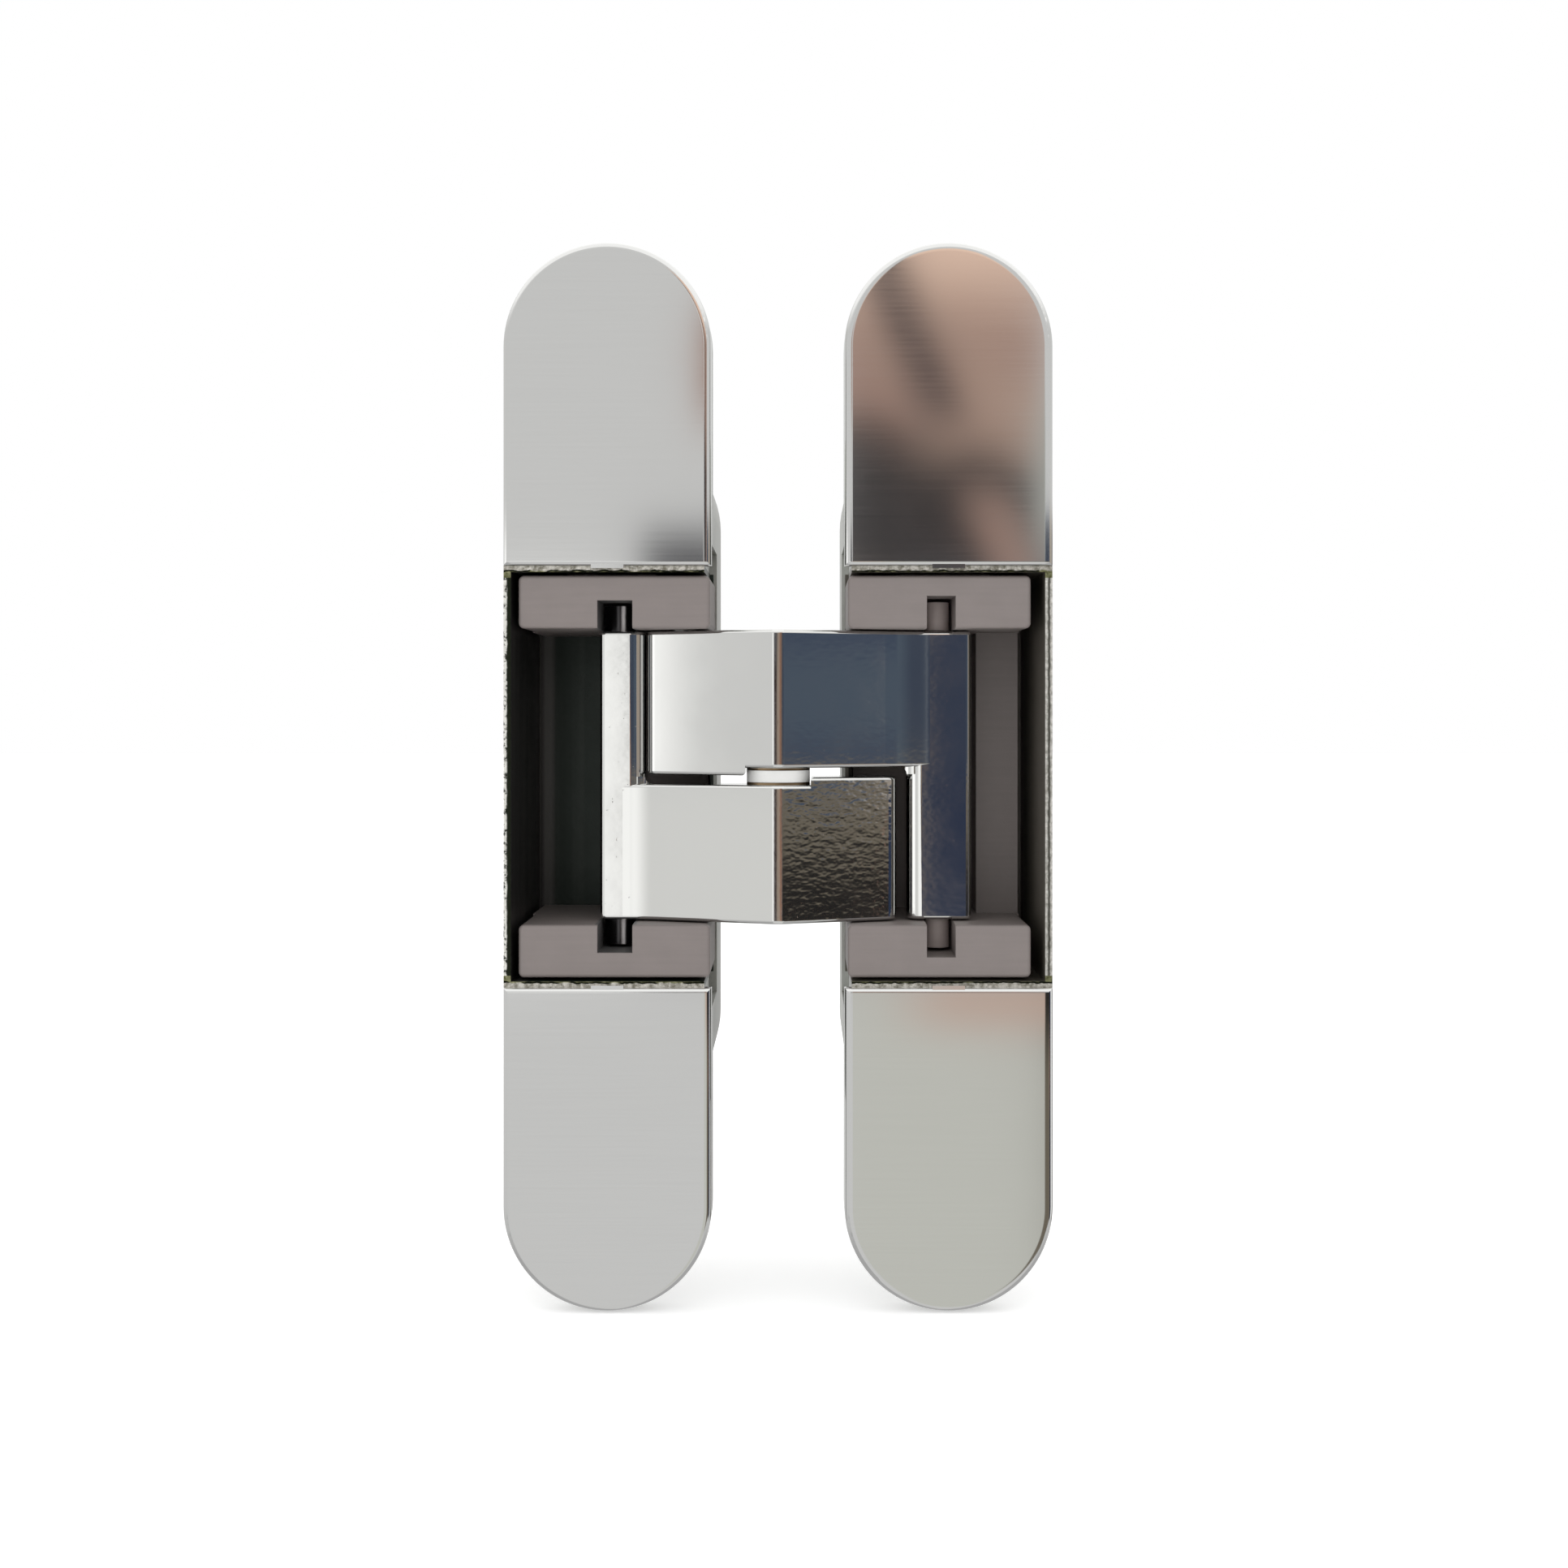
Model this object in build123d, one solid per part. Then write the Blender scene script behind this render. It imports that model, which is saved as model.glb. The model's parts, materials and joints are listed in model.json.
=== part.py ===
from build123d import *

import math
import os

os.makedirs("parts", exist_ok=True)

# Concealed door hinge, opened flat. Millimetres.
# X points right, Y points into the door edge (away from the viewer), Z points up.
# The origin is the middle of the left leaf's screw holes, on the back face of its flange.
# Depths are measured back from the front face of the covers.

# Leaves.
LEAF_WIDTH = 23.0
LEAF_HEIGHT = 118.0
LEAF_GAP = 14.7  # between the two leaves, opened flat
CLOSED_GAP = 5.0  # between the cover faces, door shut
COVER_THICKNESS = 1.2
FLANGE_THICKNESS = 3.0
BODY_HEIGHT = 82.0  # of the deep box behind the flanges
BODY_DEPTH = 26.0  # cover face to the back of the box
SIDE_WALL = 0.8
BACK_WALL = 1.5
RIM_SETBACK = 0.5  # housing rim behind the cover face

# Openings of the housing.
CAVITY_HEIGHT = 45.3
PARTITION = 1.9  # wall between the cavity and an end pocket
PARTITION_SHOWN = 0.65  # the part of it that the cover leaves bare
WINDOW_HEIGHT = 51.4  # cut in the side wall, for the arms
WINDOW_DEPTH = 14.5
POCKET_SIDE_WALL = 3.0
POCKET_END_WALL = 1.8
REAR_POCKET_WALL = 1.6
FLOOR_THICKNESS = 2.6
BOSS_RADIUS = 4.4

# Wood screw holes and cover pegs, from the middle of the leaf.
SCREW_SPACING_X = 10.4
SCREW_SPACING_Z = 93.0
SCREW_HOLE_RADIUS = 2.6
SCREW_SINK_RADIUS = 4.4
PEG_RADIUS = 1.2
PEG_LENGTH = 2.4
END_PEG_INSET = 4.0  # from the round end of the leaf
SIDE_PEG_INSET = 2.4  # from the side of the leaf
SIDE_PEG_Z = 40.4
COVER_ROUNDING = 0.5
LIP_WIDTH = 3.6
LIP_HEIGHT = 0.25
LIP_THICKNESS = 0.4

# Linkage: fixed pivot and sliding pin from the leaf's inner edge, and their depths.
PIVOT_INSET = 3.5
PIVOT_DEPTH = 7.3
SLIDE_INSET = 10.75
SLIDE_DEPTH = 8.2
CROSS_DEPTH = 4.3

# Arms.
ARM_HEIGHT = 32.6
ARM_END_PLAY = 0.15
PIVOT_SIDE_GAP = 0.1  # an arm's fixed side to the hinge's middle plane
SLIDE_SIDE_GAP = 0.95  # its sliding side to the middle plane
LOWER_COLUMN_INNER = 3.0  # slide pin to the side of the lower arm's column that faces the cross pivot
UPPER_COLUMN_INNER = 3.6
LOWER_COLUMN_OUTER = 2.1  # slide pin to the other side
UPPER_COLUMN_OUTER = 3.7
COLUMN_DEPTH = 5.8
KNUCKLE_RADIUS = 3.0  # round the fixed pivot, front and back
LOWER_END_REACH = 2.5  # fixed pivot to the end of the lower arm
UPPER_END_REACH = 4.1
RIDGE_RISE = 4.4  # cross pivot to the ridge
RIDGE_WIDTH = 1.2
ARM_BACK = 4.0  # cross pivot to the back of the arm
ARM_BACK_WIDTH = 2.4
ARM_ROUNDING = 0.4
END_ROUNDING = 1.5
COLUMN_ROUNDING = 1.7  # inner side of a column
COLUMN_OUTER_ROUNDING = 0.6
COLUMN_BLEND = 14.0  # hollow from a column's front to the sloping face
FOOT_ROUNDING = 0.8

# Pins, bushes and washer.
FIXED_PIN_RADIUS = 1.5
FIXED_HEAD_RADIUS = 2.3
FIXED_HEAD_THICKNESS = 0.7
PIVOT_BUSH_WALL = 0.6
CENTRE_PIN_RADIUS = 2.0
CENTRE_PIN_LENGTH = 23.0
CENTRE_BUSH_WALL = 0.6
BUSH_FLANGE = 0.25
WASHER_RADIUS = 3.55
SLIDE_PIN_RADIUS = 1.75
SLIDE_PIN_LENGTH = 38.4
SLEEVED_PIN_RADIUS = 1.5
SLEEVED_END_RADIUS = 0.9
SLEEVE_RADIUS = 1.4
SLEEVE_LENGTH = 3.2

# Carriages: guide blocks with tabs that reach under the covers.
BLOCK_SETBACK = 1.0
BLOCK_END_GAP = 0.35
BLOCK_CORNER = 0.6
BLOCK_ROUNDING = 0.45
LEFT_GROOVE_HEIGHT = 3.1
RIGHT_GROOVE_HEIGHT = 3.6
PLATE_THICKNESS = 2.0
TAB_WIDTH = 10.0
TAB_THICKNESS = 3.0
TAB_LENGTH = 13.4
TAB_DEPTH = 5.3
LEFT_SIDE_GAP = 0.75
LEFT_OUT = 0.5
LEFT_IN = 0.2
RIGHT_SIDE_GAP = 1.5
RIGHT_OUT = 1.2
RIGHT_IN = 0.4

# Side adjusters: eccentrics under the covers.
ADJUSTER_INSET = 6.1  # from the end of the tab
CAM_RADIUS = 3.0
CAM_TURN = 40.0  # degrees, each way from its middle
ADJUSTER_SHAFT_RADIUS = 2.2
ADJUSTER_SHAFT_LENGTH = 4.2
ADJUSTER_HEAD_RADIUS = 3.9
ADJUSTER_HEAD_THICKNESS = 2.0
HEX_ACROSS_FLATS = 3.0
HEX_DEPTH = 1.6

# Clearances.
PRESS = 0.01
RUN = 0.04
SLIDE = 0.1
GROOVE_PLAY = 0.2
FREE = 0.3

# Places worked out from the sizes above.
SEAT_DEPTH = COVER_THICKNESS + FLANGE_THICKNESS
INNER_EDGE = LEAF_WIDTH / 2
CROSS_X = INNER_EDGE + LEAF_GAP / 2
CAVITY_TOP = CAVITY_HEIGHT / 2
COVER_START = CAVITY_TOP + PARTITION_SHOWN
POCKET_START = CAVITY_TOP + PARTITION
ARM_TOP = ARM_HEIGHT / 2
BLOCK_FOOT = ARM_TOP + ARM_END_PLAY
BLOCK_TOP = CAVITY_TOP - BLOCK_END_GAP
ADJUSTER_Z = BLOCK_TOP + TAB_LENGTH - ADJUSTER_INSET
FLOOR_DEPTH = TAB_DEPTH + TAB_THICKNESS + SLIDE
HEAD_FOOT = -PIVOT_SIDE_GAP - FIXED_HEAD_THICKNESS
WASHER_TOP = SLIDE_SIDE_GAP - BUSH_FLANGE


def y_at(depth):
    """Y of a depth behind the cover face."""
    return depth - SEAT_DEPTH


PIVOT = (INNER_EDGE - PIVOT_INSET, y_at(PIVOT_DEPTH))
SLIDE_START = (INNER_EDGE - SLIDE_INSET, y_at(SLIDE_DEPTH))
CROSS = (CROSS_X, y_at(CROSS_DEPTH))
FAR_PIVOT = (2 * CROSS_X - PIVOT[0], PIVOT[1])


def polar(centre, length, angle):
    return (centre[0] + length * math.cos(angle), centre[1] + length * math.sin(angle))


def heading(start, end):
    return math.atan2(end[1] - start[1], end[0] - start[0])


# The arm on the fixed pivot swings from flat open to shut; the crossing arm turns at a
# constant share of that swing, so that both leaves together turn half a turn.
REACH = math.dist(PIVOT, CROSS)
OPEN_HEADING = heading(PIVOT, CROSS)
SHUT_RISE = (PIVOT_DEPTH + CLOSED_GAP / 2) / REACH
SWING = OPEN_HEADING + math.pi - math.asin(SHUT_RISE)
CROSS_RATIO = math.pi / SWING - 2
SLIDE_REACH = math.dist(CROSS, SLIDE_START)
SLIDE_HEADING = heading(CROSS, SLIDE_START)


def slide_point(share):
    """Place of the sliding pin when the hinge has shut by this share of its swing."""
    turn = -share * SWING
    cross = polar(PIVOT, REACH, OPEN_HEADING + turn)
    return polar(cross, SLIDE_REACH, SLIDE_HEADING + (1 + CROSS_RATIO) * turn)


SLIDE_PATH = [slide_point(step / 12) for step in range(13)]
SLIDE_BACK = max(point[1] for point in SLIDE_PATH)
COLUMN_REACH = COLUMN_OUTER_ROUNDING + math.hypot(
    max(LOWER_COLUMN_OUTER, UPPER_COLUMN_OUTER) - COLUMN_OUTER_ROUNDING,
    COLUMN_DEPTH / 2 - COLUMN_OUTER_ROUNDING,
)
WEB_FRONT = SLIDE_BACK + COLUMN_REACH + FREE
PLATE_EDGE = min(point[0] for point in SLIDE_PATH) - COLUMN_REACH - FREE
CARRIAGE_BACK = y_at(BODY_DEPTH) - BACK_WALL - FREE


def slab(sketch, near, far):
    """Solid with this X-Z outline, between two Y values."""
    return extrude(Plane.XZ.offset(-far) * sketch, far - near)


def prism(sketch, low, high):
    """Solid with this X-Y outline, between two heights."""
    return extrude(Plane.XY.offset(low) * sketch, high - low)


def brick(x, y, z):
    """Box between pairs of X, Y and Z values."""
    middle = Pos((x[0] + x[1]) / 2, (y[0] + y[1]) / 2, (z[0] + z[1]) / 2)
    return middle * Box(x[1] - x[0], y[1] - y[0], z[1] - z[0])


def rod(radius, low, high, place):
    """Upright cylinder between two heights."""
    return prism(Pos(*place) * Circle(radius), low, high)


def plug(radius, near, far, x, z):
    """Cylinder along Y."""
    return slab(Pos(x, z) * Circle(radius), near, far)


def turned(shape):
    """The same shape on the other leaf: half a turn about the hinge's front-to-back axis."""
    return Pos(2 * CROSS_X, 0, 0) * Rot(0, 180, 0) * shape


def flipped(shape):
    """The same shape at the other end of its leaf."""
    return mirror(shape, about=Plane.XY)


def stadium(height, width):
    return SlotOverall(height, width, rotation=90)


def above(sketch, z):
    """The part of an X-Z outline above a height."""
    tall = LEAF_HEIGHT
    return sketch & Pos(0, z + tall / 2) * Rectangle(2 * LEAF_WIDTH, tall)


def peg_places():
    side = LEAF_WIDTH / 2 - SIDE_PEG_INSET
    return [(0, LEAF_HEIGHT / 2 - END_PEG_INSET), (-side, SIDE_PEG_Z), (side, SIDE_PEG_Z)]


def cam_throw(out, inward):
    return (out + inward) / 2 / math.sin(math.radians(CAM_TURN))


def housing(out, inward):
    """Left-hand casting; out and inward are the carriage's side travel."""
    front = y_at(RIM_SETBACK)
    back = y_at(BODY_DEPTH)
    flange_front = y_at(COVER_THICKNESS)
    half = LEAF_WIDTH / 2
    body = slab(stadium(LEAF_HEIGHT, LEAF_WIDTH), flange_front, 0)
    body += slab(stadium(BODY_HEIGHT, LEAF_WIDTH), flange_front, back)
    body += brick((-half, half), (front, 0), (-COVER_START, COVER_START))
    body -= brick(
        (-half + SIDE_WALL, half - SIDE_WALL), (front - 1, back - BACK_WALL), (-CAVITY_TOP, CAVITY_TOP)
    )
    body -= brick(
        (half - SIDE_WALL, half + 1), (front - 1, y_at(WINDOW_DEPTH)), (-WINDOW_HEIGHT / 2, WINDOW_HEIGHT / 2)
    )
    for end in (1, -1):
        cut = end_cuts(out, inward)
        body -= cut if end == 1 else flipped(cut)
    return body


def end_cuts(out, inward):
    """Everything removed from one end of the casting, under the upper cover."""
    flange_front = y_at(COVER_THICKNESS)
    floor = y_at(FLOOR_DEPTH)
    floor_back = floor + FLOOR_THICKNESS
    back = y_at(BODY_DEPTH)
    axis_x = -(out - inward) / 2
    pocket = stadium(BODY_HEIGHT - 2 * POCKET_END_WALL, LEAF_WIDTH - 2 * POCKET_SIDE_WALL)
    cuts = slab(above(pocket, POCKET_START), flange_front - 1, floor)
    rear = stadium(BODY_HEIGHT - 2 * REAR_POCKET_WALL, LEAF_WIDTH - 2 * REAR_POCKET_WALL)
    rear_cut = slab(above(rear, POCKET_START), floor_back, back + 1)
    boss_back = floor + ADJUSTER_SHAFT_LENGTH + FREE
    rear_cut -= plug(BOSS_RADIUS, floor_back - 1, boss_back, axis_x, ADJUSTER_Z)
    cuts += rear_cut
    cuts += plug(ADJUSTER_SHAFT_RADIUS + RUN, floor - 1, boss_back + 1, axis_x, ADJUSTER_Z)
    cuts += brick(
        (-TAB_WIDTH / 2 - out - FREE, TAB_WIDTH / 2 + inward + FREE),
        (y_at(TAB_DEPTH) - FREE, floor),
        (CAVITY_TOP - 1, POCKET_START + 1),
    )
    for x in (-SCREW_SPACING_X / 2, SCREW_SPACING_X / 2):
        z = SCREW_SPACING_Z / 2
        cuts += plug(SCREW_HOLE_RADIUS, flange_front - 1, 1, x, z)
        sink = SCREW_SINK_RADIUS - SCREW_HOLE_RADIUS
        cone = Cone(SCREW_SINK_RADIUS, SCREW_HOLE_RADIUS, sink)
        cuts += Pos(x, flange_front + sink / 2, z) * Rot(-90, 0, 0) * cone
    for x, z in peg_places():
        cuts += plug(PEG_RADIUS + PRESS, flange_front - 1, 1, x, z)
    return cuts


def cover():
    """Upper clip-on cover of the left leaf."""
    face = y_at(0)
    seat = y_at(COVER_THICKNESS)
    plate = slab(above(stadium(LEAF_HEIGHT, LEAF_WIDTH), COVER_START), face, seat)
    plate = fillet(plate.faces().sort_by(Axis.Y)[0].edges(), COVER_ROUNDING)
    plate += brick(
        (-LIP_WIDTH / 2, LIP_WIDTH / 2),
        (y_at(RIM_SETBACK) - LIP_THICKNESS, y_at(RIM_SETBACK)),
        (COVER_START - LIP_HEIGHT, COVER_START + 1),
    )
    for x, z in peg_places():
        plate += plug(PEG_RADIUS, seat - COVER_THICKNESS / 2, seat + PEG_LENGTH, x, z)
    return plate


def groove(radius, height):
    """Room for a sliding pin of this radius: a mouth open to the front, then the pin's path."""
    half = radius + GROOVE_PLAY
    x, y = SLIDE_START
    front = y_at(BLOCK_SETBACK) - 1
    outer_side = [(x - half, front), (x - half, y)]
    inner_side = [(x + half, front), (x + half, y)]
    for before, point, after in zip(SLIDE_PATH, SLIDE_PATH[1:], SLIDE_PATH[2:]):
        along = heading(before, after)
        outer_side.append(polar(point, half, along + math.pi / 2))
        inner_side.append(polar(point, half, along - math.pi / 2))
    along = heading(SLIDE_PATH[-2], SLIDE_PATH[-1])
    round_end = [polar(SLIDE_PATH[-1], half, along + math.pi * (0.5 - step / 8)) for step in range(9)]
    outline = make_face(Polyline(*outer_side, *round_end, *reversed(inner_side), close=True))
    return prism(outline, BLOCK_FOOT - 1, BLOCK_FOOT + height)


def block(side_gap, out, inward, groove_radius, groove_height):
    """Upper guide block of the left carriage with its tab."""
    outer = -LEAF_WIDTH / 2 + SIDE_WALL + side_gap
    inner = INNER_EDGE - inward
    inner_rear = inner - SIDE_WALL - FREE
    front = y_at(BLOCK_SETBACK)
    step = y_at(WINDOW_DEPTH) - FREE
    heights = (BLOCK_FOOT, BLOCK_TOP)
    shape = brick((outer, inner), (front, step), heights)
    shape = fillet(shape.edges().filter_by(Axis.Y), BLOCK_CORNER)
    shape = fillet(shape.faces().sort_by(Axis.Y)[0].edges(), BLOCK_ROUNDING)
    shape += brick((outer, inner_rear), (step - 1, CARRIAGE_BACK), heights)
    shape -= groove(groove_radius, groove_height)
    tab_near = y_at(TAB_DEPTH)
    tab_far = tab_near + TAB_THICKNESS
    shape += brick(
        (-TAB_WIDTH / 2, TAB_WIDTH / 2), (tab_near, tab_far), (BLOCK_TOP - 1, BLOCK_TOP + TAB_LENGTH)
    )
    throw = cam_throw(out, inward)
    least = throw * math.cos(math.radians(CAM_TURN))
    hole = SlotOverall(
        2 * (CAM_RADIUS + SLIDE) + throw - least, 2 * (CAM_RADIUS + SLIDE / 2), rotation=90
    )
    shape -= slab(Pos(0, ADJUSTER_Z + (throw + least) / 2) * hole, tab_near - 1, tab_far + 1)
    return shape


def carriage(side_gap, out, inward, groove_radius, groove_height, plate):
    """Left carriage: two guide blocks, the web behind the arms' swing and, if plate, the outer back plate."""
    upper = block(side_gap, out, inward, groove_radius, groove_height)
    outer = -LEAF_WIDTH / 2 + SIDE_WALL + side_gap
    inner_rear = INNER_EDGE - inward - SIDE_WALL - FREE
    web_outer = SLIDE_START[0] - LOWER_COLUMN_OUTER
    between = (-BLOCK_FOOT - 1, BLOCK_FOOT + 1)
    shape = upper + flipped(upper)
    shape += brick((web_outer, inner_rear), (WEB_FRONT, CARRIAGE_BACK), between)
    if plate:
        near = y_at(WINDOW_DEPTH)
        rib = PLATE_EDGE - PLATE_THICKNESS
        shape += brick((outer, PLATE_EDGE), (near, near + PLATE_THICKNESS), between)
        shape += brick((rib, PLATE_EDGE), (near, CARRIAGE_BACK), between)
        shape += brick((rib, web_outer + 1), (WEB_FRONT, CARRIAGE_BACK), between)
    shape -= rod(FIXED_PIN_RADIUS + PRESS, BLOCK_FOOT - 1, BLOCK_TOP + 1, PIVOT)
    return shape


def adjuster(out, inward):
    """Upper eccentric of the left leaf."""
    throw = cam_throw(out, inward)
    rest = math.asin((out - inward) / 2 / throw)
    axis_x = -(out - inward) / 2
    cam_x = axis_x + throw * math.sin(rest)
    cam_z = ADJUSTER_Z + throw * math.cos(rest)
    tab = y_at(TAB_DEPTH)
    floor = y_at(FLOOR_DEPTH)
    head_near = tab - SLIDE - ADJUSTER_HEAD_THICKNESS
    shape = plug(ADJUSTER_HEAD_RADIUS, head_near, tab - SLIDE, axis_x, ADJUSTER_Z)
    shape += plug(CAM_RADIUS, tab - SLIDE, floor - SLIDE / 2, cam_x, cam_z)
    shape += plug(
        ADJUSTER_SHAFT_RADIUS, floor - SLIDE / 2, floor + ADJUSTER_SHAFT_LENGTH, axis_x, ADJUSTER_Z
    )
    socket = RegularPolygon(HEX_ACROSS_FLATS / 2, 6, major_radius=False)
    shape -= slab(Pos(axis_x, ADJUSTER_Z) * socket, head_near - 1, head_near + HEX_DEPTH)
    return shape


def tangent_slope(start, centre, radius, side):
    """Slope of the line from start that touches a circle on its left (side 1) or right (side -1)."""
    angle = heading(start, centre) - side * math.asin(radius / math.dist(start, centre))
    return math.tan(angle)


def arm_outline(column_inner, column_outer, end_reach):
    """Plan of an arm: column on the slide pin, ridge over the cross pivot, end round the fixed pivot."""
    x, y = SLIDE_START
    column_front = y - COLUMN_DEPTH / 2
    column_back = y + COLUMN_DEPTH / 2
    inner_x = x + column_inner
    ridge = CROSS[1] - RIDGE_RISE
    back = CROSS[1] + ARM_BACK
    end_x = FAR_PIVOT[0] + end_reach
    ridge_end = (CROSS_X + RIDGE_WIDTH / 2, ridge)
    back_end = (CROSS_X + ARM_BACK_WIDTH / 2, back)
    front_slope = tangent_slope(ridge_end, FAR_PIVOT, KNUCKLE_RADIUS, 1)
    back_slope = tangent_slope(back_end, FAR_PIVOT, KNUCKLE_RADIUS, -1)
    corners = [
        ((x - column_outer, column_front), COLUMN_OUTER_ROUNDING),
        ((inner_x, column_front), COLUMN_BLEND),
        ((CROSS_X - RIDGE_WIDTH / 2, ridge), RIDGE_WIDTH / 2),
        (ridge_end, RIDGE_WIDTH / 2),
        ((end_x, ridge + front_slope * (end_x - ridge_end[0])), END_ROUNDING),
        ((end_x, back + back_slope * (end_x - back_end[0])), END_ROUNDING),
        (back_end, ARM_BACK_WIDTH / 2),
        ((CROSS_X - ARM_BACK_WIDTH / 2, back), ARM_BACK_WIDTH / 2),
        ((inner_x, column_back), COLUMN_OUTER_ROUNDING),
        ((x - column_outer, column_back), COLUMN_OUTER_ROUNDING),
    ]
    points = [point for point, radius in corners]
    radii = [radius for point, radius in corners]
    return make_face(FilletPolyline(*points, radius=radii, close=True))


def column_outline(column_inner, column_outer):
    """Plan of a column."""
    x, y = SLIDE_START
    front = y - COLUMN_DEPTH / 2
    back = y + COLUMN_DEPTH / 2
    inner = x + column_inner
    outer = x - column_outer
    points = [(outer, front), (inner, front), (inner, back), (outer, back)]
    radii = [COLUMN_OUTER_ROUNDING, COLUMN_ROUNDING, COLUMN_OUTER_ROUNDING, COLUMN_OUTER_ROUNDING]
    return make_face(FilletPolyline(*points, radius=radii, close=True))


def rounded_prism(sketch, low, high):
    """Prism with its top and bottom edges rounded like the arms."""
    shape = prism(sketch, low, high)
    ends = shape.faces().sort_by(Axis.Z)
    return fillet(ends[0].edges() + ends[-1].edges(), ARM_ROUNDING)


def arm(slide_pin_radius, column_inner, column_outer, end_reach):
    """Arm in the lower arm's place: full height on the slide pin, half height beyond the cross pivot."""
    outline = arm_outline(column_inner, column_outer, end_reach)
    step_x = CROSS_X + WASHER_RADIUS + SLIDE
    reach = 4 * CROSS_X
    pivot_side = outline & Pos(step_x + reach / 2, 0) * Rectangle(reach, reach)
    shape = rounded_prism(outline, -ARM_TOP, -SLIDE_SIDE_GAP)
    shape += rounded_prism(pivot_side, -ARM_TOP, -PIVOT_SIDE_GAP)
    shape += rounded_prism(column_outline(column_inner, column_outer), -ARM_TOP, ARM_TOP)
    shape += column_foot(column_inner, column_outer)
    shape -= rod(slide_pin_radius + PRESS, -ARM_TOP - 1, ARM_TOP + 1, SLIDE_START)
    bush = CENTRE_PIN_RADIUS + RUN + CENTRE_BUSH_WALL
    shape -= rod(bush + PRESS, -CENTRE_PIN_LENGTH / 2 - FREE, 0, CROSS)
    bush = FIXED_PIN_RADIUS + RUN + PIVOT_BUSH_WALL
    shape -= rod(bush + PRESS, -ARM_TOP - 1, 0, FAR_PIVOT)
    shape -= rod(FIXED_HEAD_RADIUS + SLIDE, HEAD_FOOT - SLIDE, 0, FAR_PIVOT)
    return shape


def column_foot(column_inner, column_outer):
    """Hollow rounding in the corner between the column and the arm's upper edge."""
    x = SLIDE_START[0] + column_inner
    z = -SLIDE_SIDE_GAP
    corner = Pos(x + FOOT_ROUNDING / 2, z + FOOT_ROUNDING / 2) * Rectangle(FOOT_ROUNDING, FOOT_ROUNDING)
    corner -= Pos(x + FOOT_ROUNDING, z + FOOT_ROUNDING) * Circle(FOOT_ROUNDING)
    corner += Pos(x - FOOT_ROUNDING / 2, z) * Rectangle(FOOT_ROUNDING, 2 * FOOT_ROUNDING)
    y = SLIDE_START[1]
    fill = slab(corner, y - COLUMN_DEPTH / 2, y + COLUMN_DEPTH / 2)
    return fill & prism(column_outline(column_inner + FOOT_ROUNDING, column_outer), -ARM_TOP, ARM_TOP)


def tube(outer, inner, low, high, place):
    return rod(outer, low, high, place) - rod(inner, low - 1, high + 1, place)


def pivot_bush():
    """Bush in the lower arm's knuckle."""
    inner = FIXED_PIN_RADIUS + RUN
    return tube(inner + PIVOT_BUSH_WALL, inner, -ARM_TOP, HEAD_FOOT - SLIDE, FAR_PIVOT)


def fixed_pin():
    """Headed pin from the lower block of the right carriage up through the lower arm's knuckle."""
    shape = rod(FIXED_PIN_RADIUS, -BLOCK_TOP, HEAD_FOOT, FAR_PIVOT)
    return shape + rod(FIXED_HEAD_RADIUS, HEAD_FOOT, -PIVOT_SIDE_GAP, FAR_PIVOT)


def centre_bush():
    """Thin-flanged bush in the lower arm, on the centre pin."""
    inner = CENTRE_PIN_RADIUS + RUN
    shape = tube(inner + CENTRE_BUSH_WALL, inner, -CENTRE_PIN_LENGTH / 2, -WASHER_TOP, CROSS)
    return shape + tube(WASHER_RADIUS, inner, -SLIDE_SIDE_GAP, -WASHER_TOP, CROSS)


def sleeved_pin():
    """Slide pin of the lower arm's kind with turned-down ends."""
    end = ARM_TOP + SLEEVE_LENGTH + ARM_END_PLAY
    return rod(SLEEVED_PIN_RADIUS, -ARM_TOP, ARM_TOP, SLIDE_START) + rod(SLEEVED_END_RADIUS, -end, end, SLIDE_START)


def sleeve():
    """Plastic sleeve on the upper end of a sleeved pin."""
    foot = ARM_TOP + ARM_END_PLAY
    return tube(SLEEVE_RADIUS, SLEEVED_END_RADIUS + PRESS, foot, foot + SLEEVE_LENGTH, SLIDE_START)


left = (LEFT_OUT, LEFT_IN)
right = (RIGHT_OUT, RIGHT_IN)
left_cover = cover()
right_cover = turned(left_cover)
left_adjuster = adjuster(*left)
right_adjuster = turned(adjuster(*right))
washer = tube(WASHER_RADIUS, CENTRE_PIN_RADIUS + RUN, -WASHER_TOP + RUN, WASHER_TOP - RUN, CROSS)

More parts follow.
